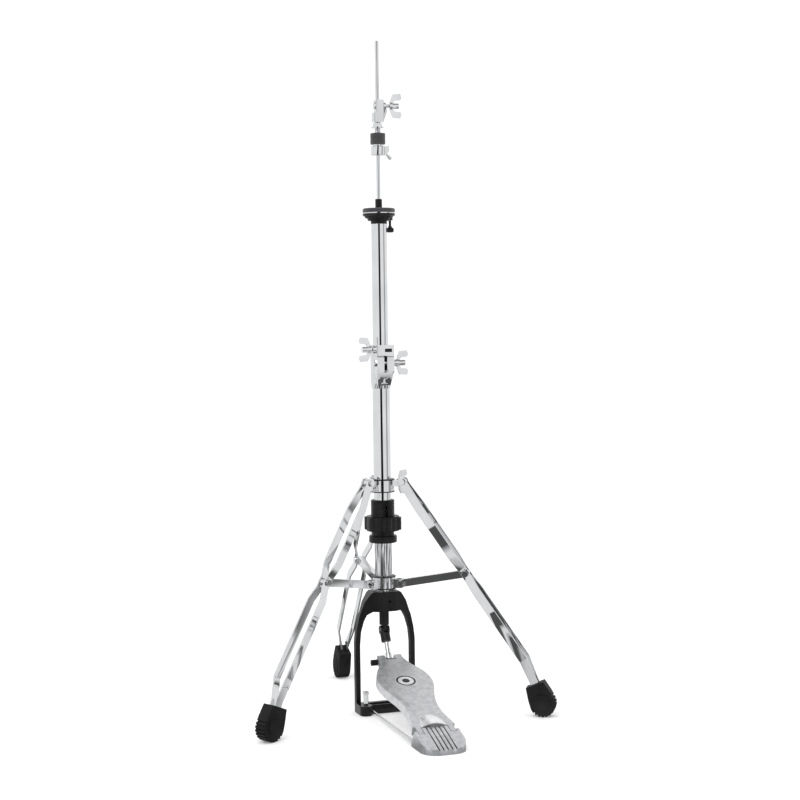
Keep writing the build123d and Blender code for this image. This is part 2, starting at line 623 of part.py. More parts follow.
def clutch_body():
    """Cast head that clamps to the rod, with a stepped lower block and a side boss."""
    core = block(-4.5, 9.0, -7.5, 7.5, BODY_Z, BODY_TOP)
    core += block(-8.0, 4.5, -7.5, 7.5, BODY_Z, BODY_Z + 15.0)
    core = core.fillet(1.6, core.edges().filter_by(Axis.Z))
    core += rod((-6.0, 0, CLUTCH_WING_Z), (13.0, 0, CLUTCH_WING_Z), 5.6)
    core += rod((8.0, 0, BODY_Z + 4.0), (15.0, 0, BODY_Z + 24.0), 3.4) & block(0, 15.5, -9, 9, BODY_Z, BODY_TOP)
    core -= round_bar(ROD_R + RUN, BODY_Z - 1, BODY_TOP + 1)
    core -= round_bar(THREAD_R, BODY_Z - 1, BODY_Z + 4.0)
    core -= rod((ROD_R + 1.5, 0, CLUTCH_WING_Z), (20.0, 0, CLUTCH_WING_Z), 2.5 + RUN)
    return one(core)


def clutch_wing_bolt():
    start = ROD_R + 2.0
    return Pos(start, 0, CLUTCH_WING_Z) * wing_bolt(2.5, 20.5 - start)


def clutch_sleeve():
    """Threaded tube that carries the felts and the nuts."""
    points = [(ROD_R + RUN, THREAD_LOW), (THREAD_R - 0.5, THREAD_LOW)]
    z = THREAD_LOW
    for lo, hi in ((NUT_TOP, FLANGE_Z), (FLANGE_Z + 8.0, BODY_Z)):
        points += [(THREAD_R, z + 0.5), (THREAD_R, lo)]
        z = lo
        while z + 1.6 < hi:
            points += [(THREAD_R - 0.5, z + 0.8), (THREAD_R, z + 1.6)]
            z += 1.6
    points += [(THREAD_R, BODY_Z + 4.0), (ROD_R + RUN, BODY_Z + 4.0)]
    return turned(points)


def clutch_lock_nut():
    """Thin flange with a hexagon above, on the thread over the felts."""
    flange = round_bar(CLUTCH_FLANGE_DIA / 2, FLANGE_Z, FLANGE_Z + 2.4)
    hexagon = Pos(0, 0, FLANGE_Z + 2.0) * extrude(RegularPolygon(8.2, 6), amount=6.0)
    return one(flange + hexagon - round_bar(THREAD_R, FLANGE_Z - 1, FLANGE_Z + 9))


def clutch_felts():
    """Two felt washers, one above and one below the upper cymbal's place."""
    r = CLUTCH_FELT_DIA / 2
    each = (FELT_TOP - NUT_TOP - 3.0) / 2
    felts = []
    for z0 in (NUT_TOP + 3.0, NUT_TOP + 3.0 + each):
        felts.append(turned([(THREAD_R, z0), (r - 0.8, z0), (r, z0 + 0.8), (r, z0 + each - 0.8),
                             (r - 0.8, z0 + each), (THREAD_R, z0 + each)]))
    return felts


def clutch_bottom_nut():
    """Round nut under the felts with a spigot, and an angled boss for its key screw."""
    r = CLUTCH_NUT_DIA / 2
    z0 = THREAD_LOW
    nut = turned([(THREAD_R, z0), (r - 0.8, z0), (r, z0 + 0.8), (r, NUT_TOP - 0.8), (r - 0.8, NUT_TOP),
                  (8.0, NUT_TOP), (8.0, NUT_TOP + 3.0), (THREAD_R, NUT_TOP + 3.0)])
    boss = plate([(7.0, z0 + 1.0), (12.5, z0 + 1.0), (17.5, z0 + 7.0), (17.5, NUT_TOP), (7.0, NUT_TOP)],
                 Plane.XZ, 6.0) - round_bar(THREAD_R + 1.0, z0, NUT_TOP + 1)
    nut += boss
    nut -= rod((8.5, 0, z0 + 8.0), (24.0, 0, z0 + 8.0 - 15.5), 1.8 + RUN)
    return one(nut)


def clutch_key_screw():
    """Small thumb screw that slants down out of the bottom nut."""
    z0 = THREAD_LOW + 8.0
    shank = rod((9.0, 0, z0 - 0.5), (19.0, 0, z0 - 10.5), 1.8)
    head = rod((17.5, 0, z0 - 9.0), (22.0, 0, z0 - 13.5), 3.0)
    return one(shank + head)


# ---- yoke base -------------------------------------------------------------------
YOKE_HALF = YOKE_WIDTH / 2
ARM_IN = YOKE_HALF - ARM_WIDTH
BOSS_X, BOSS_Y, BOSS_R, BOSS_TALL = BOSS


def yoke_outline():
    """Half of the arch, outside edge, from the floor up to the middle."""
    top = YOKE_TOP
    return [(YOKE_HALF, 0), (YOKE_HALF, 118), (YOKE_HALF - 2.2, 138), (YOKE_HALF - 6.5, 158), (YOKE_HALF - 15.5, 183),
            (26.5, top - 3), (22.0, top)]


def base_yoke():
    """Cast arch: hub around the tube, two arms down to the bosses for the spurs."""
    right = yoke_outline()
    outer = right + [(-x, z) for x, z in reversed(right)]
    inner = [(ARM_IN, -1), (ARM_IN, 112), (ARM_IN - 2.0, 134), (ARM_IN - 6.5, 152), (ARM_IN - 11.0, 162),
             (ARM_IN - 20.0, ARCH_TOP)]
    inner = inner + [(-x, z) for x, z in reversed(inner)]
    arch = plate(outer, Plane.XZ, HUB_DEEP / 2) - plate(inner, Plane.XZ, HUB_DEEP)
    half = ARM_DEEP / 2
    hub = HUB_DEEP / 2
    plan = [(-YOKE_HALF, -half), (-YOKE_HALF + 10, -half), (-14, -hub), (14, -hub), (YOKE_HALF - 10, -half),
            (YOKE_HALF, -half), (YOKE_HALF, half), (YOKE_HALF - 10, half), (14, hub), (-14, hub),
            (-YOKE_HALF + 10, half), (-YOKE_HALF, half)]
    body = arch & Pos(0, 0, YOKE_TOP / 2) * plate(plan, Plane.XY, YOKE_TOP)
    for s in (-1, 1):
        at = (s * BOSS_X, BOSS_Y)
        body += round_bar(BOSS_R, 0, BOSS_TALL, at)
        inside, outside = sorted((s * (ARM_IN - 2.0), s * YOKE_HALF))
        body += block(inside, outside, BOSS_Y, half, 0, BOSS_TALL)
        body -= round_bar(SPUR_DIA / 2 + RUN, -1, BOSS_TALL + 1, at)
        body -= rod(*radius_rod_ends(s), ROD_DIA / 2)
    body -= round_bar(LOWER_R, YOKE_TOP - SOCKET_DEEP, YOKE_TOP + 1)
    body -= round_bar(LINK_HEAD_R + 1.0, ARCH_TOP - 5, YOKE_TOP)
    body -= rod((4.0, -hub - 1, YOKE_TOP - 16), (4.0, -hub + 4, YOKE_TOP - 16), 2.4)
    return one(body)


def base_bar():
    """Plate between the feet of the arms; its underside rests on the floor."""
    x = ARM_IN - 2.0
    body = block(-x, x, BAR_FRONT, BAR_BACK, 0, BAR_HEIGHT)
    body -= block(-x + 8, x - 8, BAR_FRONT + 8, BAR_BACK - 8, 4.0, BAR_HEIGHT + 1)
    for s in (-1, 1):
        body -= round_bar(BOSS_R, -1, BAR_HEIGHT + 1, (s * BOSS_X, BOSS_Y))
    side = [(BAR_FRONT, 0), (BAR_BACK, 0), (BAR_BACK, BAR_HEIGHT), (BAR_FRONT + 5, BAR_HEIGHT), (BAR_FRONT, 8)]
    return one(body & plate(side, Plane.YZ, x + 1))


def spur_bolt(s):
    """Round-headed screw with a point that can be driven into the floor."""
    z0 = 1.0
    r = SPUR_DIA / 2
    bolt = turned([(0, z0), (0.6, z0), (r, z0 + 8), (r, SPUR_TOP - 6), (4.8, SPUR_TOP - 5), (4.8, SPUR_TOP - 1.2),
                   (3.4, SPUR_TOP), (0, SPUR_TOP)])
    return Pos(s * BOSS_X, BOSS_Y, 0) * bolt


def radius_rod_ends(s):
    x = s * (BOSS_X - 8.0)
    return (x, BOSS_Y - 4.0, ROD_Z), (x, HINGE[0] + 4.0, ROD_Z)


def radius_rods():
    """Two straight wires that hold the heel plate out from the yoke."""
    return [rod(*radius_rod_ends(s), ROD_DIA / 2) for s in (-1, 1)]


# ---- footboard -------------------------------------------------------------------
HINGE_Y, HINGE_Z = HINGE
SLOPE = radians(PEDAL_SLOPE)
# the board's own plane: x across, y up the board from the hinge, z out of its top
BOARD = Plane(origin=(0, HINGE_Y, HINGE_Z), x_dir=(1, 0, 0), z_dir=(0, -sin(SLOPE), cos(SLOPE)))
# half widths of the board along its length: hinge, waist, belly, neck, toe
SHAPE = [(35.0, 0), (34.5, 16), (29.5, 38), (26.8, 58), (28.0, 86), (32.5, 107), (39.0, 127), (43.8, 146),
         (44.3, 162), (41.0, 180), (33.0, 198), (25.0, 214), (21.0, 228), (20.5, BOARD_LONG)]
TOE_ALONG = (TOE_PIN[0] - HINGE_Y) * cos(SLOPE) + (TOE_PIN[1] - HINGE_Z) * sin(SLOPE)
TOE_RISE = -(TOE_PIN[0] - HINGE_Y) * sin(SLOPE) + (TOE_PIN[1] - HINGE_Z) * cos(SLOPE)


def board_face(inset, low, high):
    """Board outline drawn in by inset, between two distances from the hinge."""
    half = [(x - inset, y) for x, y in SHAPE]
    edge = Spline(*half)
    ends = [Line(half[-1], (-half[-1][0], half[-1][1])), Line((-half[0][0], half[0][1]), half[0])]
    face = make_face(Curve() + [edge, ends[0], mirror(edge, about=Plane.YZ), ends[1]])
    window = Pos(0, (low + high) / 2) * Rectangle(200, high - low)
    return face & window


def board_solid(inset, low, high, z0, z1):
    face = board_face(inset, low, high)
    return BOARD * (Pos(0, 0, z0) * extrude(face, amount=z1 - z0))


def footboard():
    """Cast board with side walls, a raised panel, a notch for the heel tongue and one for the link."""
    top = BOARD_RISE
    narrow = BOARD * block(-HINGE_HALF, HINGE_HALF, 0, KNUCKLE_LONG + 1, -60, 60)
    body = board_solid(0, KNUCKLE_LONG, BOARD_LONG, top - SKIRT, top)
    body += board_solid(0, 2.0, KNUCKLE_LONG + 0.5, top - SKIRT, top) & narrow
    body -= board_solid(SKIRT_WALL, HINGE_PIN_DIA + 16.0, TOE_ALONG - 16.0, top - SKIRT - 1, top - BOARD_THICK)
    body += board_solid(PANEL_INSET, 50.0, BOARD_LONG - 26.0, top - 1, top + PANEL_RISE)
    for s in (-1, 1):
        inside, outside = sorted((s * (TONGUE_HALF + 1.0), s * HINGE_HALF))
        body += BOARD * rod((inside, 0, 0), (outside, 0, 0), BOARD_RISE)
    reach = TONGUE_LONG + 2.0
    body -= BOARD * block(-TONGUE_HALF - 1.0, TONGUE_HALF + 1.0, -30, reach, -30, 30)
    body -= BOARD * rod((-50, 0, 0), (50, 0, 0), HINGE_PIN_DIA / 2 + RUN)
    notch = block(-TOE_NOTCH_HALF, TOE_NOTCH_HALF, TOE_ALONG - 10.0, BOARD_LONG + 5, -40, 40)
    body -= BOARD * notch
    body -= BOARD * rod((-60, TOE_ALONG, TOE_RISE), (60, TOE_ALONG, TOE_RISE), TOE_PIN_DIA / 2)
    badge = Pos(0, BADGE_Y, top + PANEL_RISE - 0.8) * Cylinder(BADGE_R, 5, align=BASE_UP)
    return one(body - BOARD * badge)


def badge_disc():
    """Plain round inlay in the board."""
    z0 = BOARD_RISE + PANEL_RISE - 0.8
    return BOARD * (Pos(0, BADGE_Y, z0) * Cylinder(BADGE_R, 1.1, align=BASE_UP))


def toe_pin():
    """Pin across the toe that carries the link's eye."""
    return BOARD * rod((-TOE_HALF, TOE_ALONG, TOE_RISE), (TOE_HALF - 2.0, TOE_ALONG, TOE_RISE), TOE_PIN_DIA / 2)


def toe_knob():
    """Knurled knob on the left end of the toe pin."""
    x0, x1 = -TOE_HALF - SIDE, -TOE_HALF - 10.5
    body = rod((x0, TOE_ALONG, TOE_RISE), (x1, TOE_ALONG, TOE_RISE), 5.0)
    for k in range(12):
        a = 2 * pi * k / 12
        y, z = TOE_ALONG + 5.0 * cos(a), TOE_RISE + 5.0 * sin(a)
        body -= rod((x0 - 2.0, y, z), (x1 - 1, y, z), 0.7)
    return BOARD * one(body)


def heel_plate():
    """Cast plate on the floor behind the hinge, with a ribbed tongue through the board's notch."""
    top_z = HINGE_Z + BOARD_RISE / cos(SLOPE)
    side = [(HINGE_Y + 14.0, 0), (HEEL_END, 0), (HEEL_END, HEEL_EDGE), (HINGE_Y, top_z),
            (HINGE_Y + 9.0, HINGE_Z), (HINGE_Y + 14.0, HEEL_LIP)]
    plan = Pos(0, (HINGE_Y + 14.0 + HEEL_END) / 2) * Rectangle(2 * HEEL_HALF, HINGE_Y + 14.0 - HEEL_END)
    plan = fillet(plan.vertices().sort_by(Axis.Y)[:2], 26.0)
    body = extrude(plan, amount=60) & plate(side, Plane.YZ, HEEL_HALF + 1)
    body -= extrude(offset(plan, -5.0), amount=3.0) & block(-50, 50, HEEL_END, HINGE_Y - 14, -1, 60)
    # room for the board's knuckles, and below them for the board itself
    body -= block(-HINGE_HALF - 0.8, HINGE_HALF + 0.8, HINGE_Y, HINGE_Y + 40, HEEL_LIP, 80)
    body -= rod((-HINGE_HALF - 0.8, HINGE_Y, HINGE_Z), (HINGE_HALF + 0.8, HINGE_Y, HINGE_Z), BOARD_RISE + 0.8)
    tongue = BOARD * block(-TONGUE_HALF, TONGUE_HALF, -16.0, TONGUE_LONG, -6.0, BOARD_RISE)
    post = block(-TONGUE_HALF, TONGUE_HALF, HINGE_Y - 16.0, HINGE_Y + 6.0, 3.0, HINGE_Z)
    body = body + tongue + post
    # the ribs are what the grooves leave
    pitch = 2 * TONGUE_HALF / RIB_COUNT
    for k in range(1, RIB_COUNT):
        x = -TONGUE_HALF + k * pitch
        body -= BOARD * block(x - 0.9, x + 0.9, -62.0, TONGUE_LONG + 1, BOARD_RISE - 1.8, BOARD_RISE + 9)
    body -= rod((-60, HINGE_Y, HINGE_Z), (60, HINGE_Y, HINGE_Z), HINGE_PIN_DIA / 2)
    for s in (-1, 1):
        body -= rod(*radius_rod_ends(s), ROD_DIA / 2)
    return one(body)


def heel_hinge_pin():
    """Pin through the heel plate's ears, the board's knuckles and the tongue."""
    return rod((-HEEL_HALF, HINGE_Y, HINGE_Z), (HEEL_HALF, HINGE_Y, HINGE_Z), HINGE_PIN_DIA / 2)


# ---- link between the pull rod and the footboard ---------------------------------
LINK = Plane(origin=(0, 0, LINK_TOP_Z), x_dir=(1, 0, 0), z_dir=(0, TOE_PIN[0], TOE_PIN[1] - LINK_TOP_Z))
LINK_LONG = hypot(TOE_PIN[0], LINK_TOP_Z - TOE_PIN[1])
TANG_HALF = 3.2
LINK_PIN_R = 2.0


def rod_sleeve():
    """Black sleeve on the foot of the pull rod, with a flat tang below for the link."""
    z0 = LINK_TOP_Z
    body = round_bar(LINK_HEAD_R, z0 + 9.0, YOKE_TOP - 6.0)
    tang = block(-TANG_HALF, TANG_HALF, -6.0, 6.0, z0, z0 + 10.0)
    tang += rod((-TANG_HALF, 0, z0), (TANG_HALF, 0, z0), 6.0)
    body = body + tang - round_bar(LOWER_ROD_R, LINK_TOP_Z + 12.0, YOKE_TOP)
    return one(body - rod((-20, 0, z0), (20, 0, z0), LINK_PIN_R))


def link_pin():
    return rod((-LINK_HEAD_R + 0.5, 0, LINK_TOP_Z), (LINK_HEAD_R - 0.5, 0, LINK_TOP_Z), LINK_PIN_R)


def link_swivel():
    """Black fork that swings on the tang."""
    body = LINK * round_bar(LINK_HEAD_R, 0, 20.0)
    body += rod((-LINK_HEAD_R + 0.6, 0, LINK_TOP_Z), (LINK_HEAD_R - 0.6, 0, LINK_TOP_Z), LINK_HEAD_R - 0.6)
    body -= LINK * block(-TANG_HALF - SIDE, TANG_HALF + SIDE, -20, 20, -20, 7.0)
    body -= LINK * round_bar(3.6, 10.0, 21.0)
    body -= rod((-20, 0, LINK_TOP_Z), (20, 0, LINK_TOP_Z), LINK_PIN_R + RUN)
    return one(body)


def link_rod():
    """Steel rod with an eye around the toe pin."""
    body = LINK * round_bar(3.6, 10.0, LINK_LONG - 6.0)
    eye = LINK * (Pos(0, 0, LINK_LONG) * Rot(0, 90, 0) * Cylinder(6.4, 11.0))
    neck = LINK * round_bar(5.0, LINK_LONG - 14.0, LINK_LONG - 4.0)
    body = body + neck + eye
    return one(body - LINK * (Pos(0, 0, LINK_LONG) * Rot(0, 90, 0) * Cylinder(TOE_PIN_DIA / 2 + LOOSE, 20)))


# ---- write every node ------------------------------------------------------------
def main():
    os.makedirs("parts", exist_ok=True)
    save("base_yoke", base_yoke())
    save("base_bar", base_bar())
    save("radius_rods", *radius_rods())
    save("heel_plate", heel_plate())
    save("heel_hinge_pin", heel_hinge_pin())
    save("lower_tube", lower_tube())
    save("spring_housing", spring_housing())
    save("pull_spring", pull_spring())
    save("height_clamp", height_clamp())
    save("clamp_bushing", clamp_bushing())
    save("clamp_bolt", clamp_bolt())
    save("spur_bolt_left", spur_bolt(-1))
    save("spur_bolt_right", spur_bolt(1))
    save("spring_follower", spring_follower())
    save("tension_knob", tension_knob())
    save("lower_collar", lower_collar())
    save("lower_collar_bushes", *collar_bushes(LOWER_COLLAR_Z))
    save("brace_pivot_bolts", *set_of_three(pivot_bolt(LOW_PIVOT)))
    save("upper_collar", upper_collar())
    save("upper_collar_bushes", *collar_bushes(UPPER_COLLAR_Z))
    save("leg_pivot_bolts", *set_of_three(pivot_bolt(TOP_PIVOT, SIDE / 2)))
    save("collar_wing_bolt", collar_wing_bolt())
    straps = leg_straps()
    rubber = foot(straps)
    for name, angle in LEG_ANGLES.items():
        turn = Rot(0, 0, angle + LEG_TURN)
        save(f"leg_straps_{name}", *[turn * s for s in straps])
        save(f"leg_rivets_{name}", *[turn * s for s in leg_rivets()])
        save(f"foot_{name}", turn * rubber)
        save(f"brace_{name}", turn * brace())
    save("upper_tube", upper_tube())
    save("seat_base", seat_base())
    save("seat_sleeve", seat_sleeve())
    save("seat_plate", seat_plate())
    save("seat_felt", seat_felt())
    save("tilt_screw", tilt_screw())
    save("memory_lock", memory_lock())
    save("memory_wing_bolt", memory_wing_bolt())
    save("height_wing_nut", height_wing_nut())
    save("footboard", footboard())
    save("badge_disc", badge_disc())
    save("toe_pin", toe_pin())
    save("toe_knob", toe_knob())
    save("upper_rod", upper_rod())
    save("lower_rod", lower_rod())
    save("rod_sleeve", rod_sleeve())
    save("link_pin", link_pin())
    save("link_swivel", link_swivel())
    save("link_rod", link_rod())
    save("clutch_body", clutch_body())
    save("clutch_sleeve", clutch_sleeve())
    save("clutch_lock_nut", clutch_lock_nut())
    save("clutch_felts", *clutch_felts())
    save("clutch_bottom_nut", clutch_bottom_nut())
    save("clutch_wing_bolt", clutch_wing_bolt())
    save("clutch_key_screw", clutch_key_screw())


main()
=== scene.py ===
from math import cos, pi, radians, sin

import bmesh
import bpy
from mathutils import Matrix, Vector


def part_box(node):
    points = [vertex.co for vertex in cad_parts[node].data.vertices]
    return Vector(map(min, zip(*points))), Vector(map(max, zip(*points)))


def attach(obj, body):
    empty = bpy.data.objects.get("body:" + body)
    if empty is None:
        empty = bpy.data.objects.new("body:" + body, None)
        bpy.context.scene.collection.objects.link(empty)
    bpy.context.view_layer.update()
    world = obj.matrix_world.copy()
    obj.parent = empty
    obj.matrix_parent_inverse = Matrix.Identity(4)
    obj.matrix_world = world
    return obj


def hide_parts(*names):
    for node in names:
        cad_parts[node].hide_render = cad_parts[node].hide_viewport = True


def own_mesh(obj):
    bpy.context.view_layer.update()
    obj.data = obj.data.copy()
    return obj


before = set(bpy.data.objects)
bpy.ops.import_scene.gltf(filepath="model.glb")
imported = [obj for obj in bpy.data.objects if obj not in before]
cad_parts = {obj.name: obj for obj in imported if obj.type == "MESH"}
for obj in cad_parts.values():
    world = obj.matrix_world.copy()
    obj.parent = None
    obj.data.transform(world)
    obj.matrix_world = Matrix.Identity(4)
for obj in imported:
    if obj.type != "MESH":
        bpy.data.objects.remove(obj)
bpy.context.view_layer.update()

# ---- The yoke and its floor bar --------------------------------------------------------------
# One iron casting arches over the pull linkage and stands on a bar that lies on the floor. Both
# are coated in satin black enamel, which keeps a slight orange peel and rounds every edge.

def casting(name, node, edge, angle=32.0, reshape=None):
    """A piece cast or pressed to a CAD node's shape, with its edges eased by the given radius."""
    bm = bmesh.new()
    bm.from_mesh(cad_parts[node].data)
    bmesh.ops.remove_doubles(bm, verts=bm.verts, dist=3e-6)
    bmesh.ops.dissolve_limit(bm, angle_limit=radians(0.6), verts=bm.verts, edges=bm.edges)
    if reshape:
        for vertex in bm.verts:
            reshape(vertex.co)
    return finished(name, bm, edge, angle)


def finished(name, bm, edge, angle=32.0):
    mesh = bpy.data.meshes.new(name)
    bm.to_mesh(mesh)
    bm.free()
    mesh.materials.clear()
    for face in mesh.polygons:
        face.use_smooth = True
    mesh.set_sharp_from_angle(angle=radians(angle))
    piece = bpy.data.objects.new(name, mesh)
    bpy.context.scene.collection.objects.link(piece)
    if edge:
        bevel = piece.modifiers.new("eased edges", "BEVEL")
        bevel.width = edge
        bevel.segments = 2
        bevel.limit_method = "ANGLE"
        bevel.angle_limit = radians(angle)
        bevel.harden_normals = True
    return piece


def fix(piece, body, material_slot, material, *nodes):
    piece.data.materials.clear()
    piece.data.materials.append(material)
    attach(piece, body)
    if nodes:
        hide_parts(*nodes)


def node_group(name, inputs, outputs):
    group = bpy.data.node_groups.new(name, "ShaderNodeTree")
    for label, value in inputs:
        socket = group.interface.new_socket(label, in_out="INPUT", socket_type="NodeSocketFloat")
        socket.default_value = value
    for label in outputs:
        group.interface.new_socket(label, in_out="OUTPUT", socket_type="NodeSocketFloat")
    return group, group.nodes.new("NodeGroupInput"), group.nodes.new("NodeGroupOutput")


# The fine grain of a surface: a height for the bump, and a speckle that follows it.
grain_group, grain_in, grain_out = node_group(
    "surface grain", [("Scale", 900.0), ("Wave", 60.0), ("Wave share", 0.3)], ["Height", "Speckle"])
links = grain_group.links
place = grain_group.nodes.new("ShaderNodeTexCoord")
fine = grain_group.nodes.new("ShaderNodeTexNoise")
broad = grain_group.nodes.new("ShaderNodeTexNoise")
blend = grain_group.nodes.new("ShaderNodeMix")
fine.inputs["Detail"].default_value = 3.0
broad.inputs["Detail"].default_value = 1.0
for noise, label in ((fine, "Scale"), (broad, "Wave")):
    links.new(place.outputs["Object"], noise.inputs["Vector"])
    links.new(grain_in.outputs[label], noise.inputs["Scale"])
links.new(grain_in.outputs["Wave share"], blend.inputs["Factor"])
links.new(fine.outputs["Fac"], blend.inputs["A"])
links.new(broad.outputs["Fac"], blend.inputs["B"])
links.new(blend.outputs["Result"], grain_out.inputs["Height"])
links.new(fine.outputs["Fac"], grain_out.inputs["Speckle"])

# What handling leaves: cloudy patches where hands and cloths have been, and short fine rubs.
marks_group, marks_in, marks_out = node_group(
    "handling marks", [("Patch scale", 25.0), ("Rub scale", 300.0), ("Low", 0.05), ("High", 0.2)],
    ["Roughness", "Patch"])
links = marks_group.links
place = marks_group.nodes.new("ShaderNodeTexCoord")
stretch = marks_group.nodes.new("ShaderNodeMapping")
stretch.inputs["Scale"].default_value = (1.0, 1.0, 0.12)
cloud = marks_group.nodes.new("ShaderNodeTexNoise")
rub = marks_group.nodes.new("ShaderNodeTexNoise")
cloud.inputs["Detail"].default_value = 4.0
rub.inputs["Detail"].default_value = 2.0
mixed = marks_group.nodes.new("ShaderNodeMix")
mixed.inputs["Factor"].default_value = 0.35
spread = marks_group.nodes.new("ShaderNodeMapRange")
spread.inputs["From Min"].default_value = 0.3
spread.inputs["From Max"].default_value = 0.7
links.new(place.outputs["Object"], cloud.inputs["Vector"])
links.new(place.outputs["Object"], stretch.inputs["Vector"])
links.new(stretch.outputs["Vector"], rub.inputs["Vector"])
links.new(marks_in.outputs["Patch scale"], cloud.inputs["Scale"])
links.new(marks_in.outputs["Rub scale"], rub.inputs["Scale"])
links.new(cloud.outputs["Fac"], mixed.inputs["A"])
links.new(rub.outputs["Fac"], mixed.inputs["B"])
links.new(mixed.outputs["Result"], spread.inputs["Value"])
links.new(marks_in.outputs["Low"], spread.inputs["To Min"])
links.new(marks_in.outputs["High"], spread.inputs["To Max"])
links.new(spread.outputs["Result"], marks_out.inputs["Roughness"])
links.new(cloud.outputs["Fac"], marks_out.inputs["Patch"])


LOW_ENDS, HIGH_STARTS = 0.36, 0.64   # where along the cloud a finish's two colours settle


def surface(name, low, high, rough, grain, wave, share, depth,
            patch=25.0, metallic=0.0, by="Patch", **plain):
    """A finish between two colours, with a roughness range and a grain of some depth."""
    material = bpy.data.materials.new(name)
    material.use_nodes = True
    tree = material.node_tree
    body = tree.nodes["Principled BSDF"]
    marks = tree.nodes.new("ShaderNodeGroup")
    marks.node_tree = marks_group
    texture = tree.nodes.new("ShaderNodeGroup")
    texture.node_tree = grain_group
    marks.inputs["Patch scale"].default_value = patch
    marks.inputs["Low"].default_value, marks.inputs["High"].default_value = rough
    texture.inputs["Scale"].default_value = grain
    texture.inputs["Wave"].default_value = wave
    texture.inputs["Wave share"].default_value = share
    ramp = tree.nodes.new("ShaderNodeValToRGB")
    first, last = ramp.color_ramp.elements
    first.position, last.position = LOW_ENDS, HIGH_STARTS
    first.color, last.color = (*low, 1), (*high, 1)
    bump = tree.nodes.new("ShaderNodeBump")
    bump.inputs["Distance"].default_value = depth
    tree.links.new((marks if by == "Patch" else texture).outputs[by], ramp.inputs["Fac"])
    tree.links.new(ramp.outputs["Color"], body.inputs["Base Color"])
    tree.links.new(marks.outputs["Roughness"], body.inputs["Roughness"])
    tree.links.new(texture.outputs["Height"], bump.inputs["Height"])
    tree.links.new(bump.outputs["Normal"], body.inputs["Normal"])
    body.inputs["Metallic"].default_value = metallic
    for label, value in plain.items():
        body.inputs[label.replace("_", " ")].default_value = value
    return material


enamel = surface("black enamel", (0.004, 0.004, 0.005), (0.008, 0.008, 0.009), (0.24, 0.36),
                 1400.0, 420.0, 0.7, 0.00010, Specular_IOR_Level=0.22)
fix(casting("yoke", "base_yoke", 0.0011), "base", "black_paint", enamel, "base_yoke")
fix(casting("floor_bar", "base_bar", 0.0010), "base", "black_paint", enamel, "base_bar")

# ---- Spurs and radius rods -------------------------------------------------------------------
# Two chromed steel spurs screw down through the floor bar's bosses. Two bright wires tie the bar
# to the heel plate and set the pedal's distance.

chrome = surface("chrome plate", (0.66, 0.67, 0.68), (0.72, 0.73, 0.74), (0.012, 0.04),
                 260.0, 14.0, 0.6, 0.000004, metallic=1.0)
wire = surface("bright steel", (0.55, 0.55, 0.56), (0.68, 0.68, 0.69), (0.16, 0.30),
               700.0, 60.0, 0.3, 0.00002, metallic=1.0)
for side in ("left", "right"):
    fix(casting("spur_" + side, "spur_bolt_" + side, 0.0003), "spur_" + side, "chrome", chrome,
        "spur_bolt_" + side)
fix(casting("wires", "radius_rods", 0.0003), "base", "bright_steel", wire, "radius_rods")

# ---- Heel plate and hinge --------------------------------------------------------------------
# A tumbled aluminium casting that lies on the floor, with six grip ribs. A steel pin through its
# knuckles and the footboard's is the pedal's hinge.

cast = surface("tumbled aluminium", (0.60, 0.605, 0.63), (0.74, 0.745, 0.76), (0.3, 0.44),
               1300.0, 170.0, 0.4, 0.00022, patch=130.0, metallic=0.8)
fix(casting("heel_casting", "heel_plate", 0.0006), "base", "cast_aluminium", cast, "heel_plate")
# the pedal's slope, the height of its top face over the hinge, and the ways along and out of it
SLOPE, RISE = radians(17.3), 0.011
ALONG, OUT = Vector((0, cos(SLOPE), sin(SLOPE))), Vector((0, -sin(SLOPE), cos(SLOPE)))
HINGE = Vector((0, -0.2518, 0.0137))
GROOVES, GROOVE_PITCH, GROOVE_WIDE, GROOVE_DEEP = 5, 0.007, 0.0017, 0.0015
GROOVE_FROM, GROOVE_TO = -0.050, 0.0128
GROOVE_OPEN = 0.35                   # the share of a groove's depth left above the dark strips of painted shade


def repeater(name):
    """Sets a piece's mesh at even steps on a line, as real faces with one material."""
    group = bpy.data.node_groups.new(name, "GeometryNodeTree")
    group.interface.new_socket("Geometry", in_out="INPUT", socket_type="NodeSocketGeometry")
    for label, kind in (("Count", "Int"), ("First", "Vector"), ("Step", "Vector"),
                        ("Finish", "Material")):
        group.interface.new_socket(label, in_out="INPUT", socket_type="NodeSocket" + kind)
    group.interface.new_socket("Geometry", in_out="OUTPUT", socket_type="NodeSocketGeometry")
    start, end, line, put, real, paint = [group.nodes.new(kind) for kind in (
        "NodeGroupInput", "NodeGroupOutput", "GeometryNodeMeshLine", "GeometryNodeInstanceOnPoints",
        "GeometryNodeRealizeInstances", "GeometryNodeSetMaterial")]
    for a, b in ((start.outputs["Count"], line.inputs["Count"]),
                 (start.outputs["First"], line.inputs["Start Location"]),
                 (start.outputs["Step"], line.inputs["Offset"]),
                 (line.outputs["Mesh"], put.inputs["Points"]),
                 (start.outputs["Geometry"], put.inputs["Instance"]),
                 (put.outputs["Instances"], real.inputs["Geometry"]),
                 (real.outputs["Geometry"], paint.inputs["Geometry"]),
                 (start.outputs["Finish"], paint.inputs["Material"]),
                 (paint.outputs["Geometry"], end.inputs["Geometry"])):
        group.links.new(a, b)
    return group


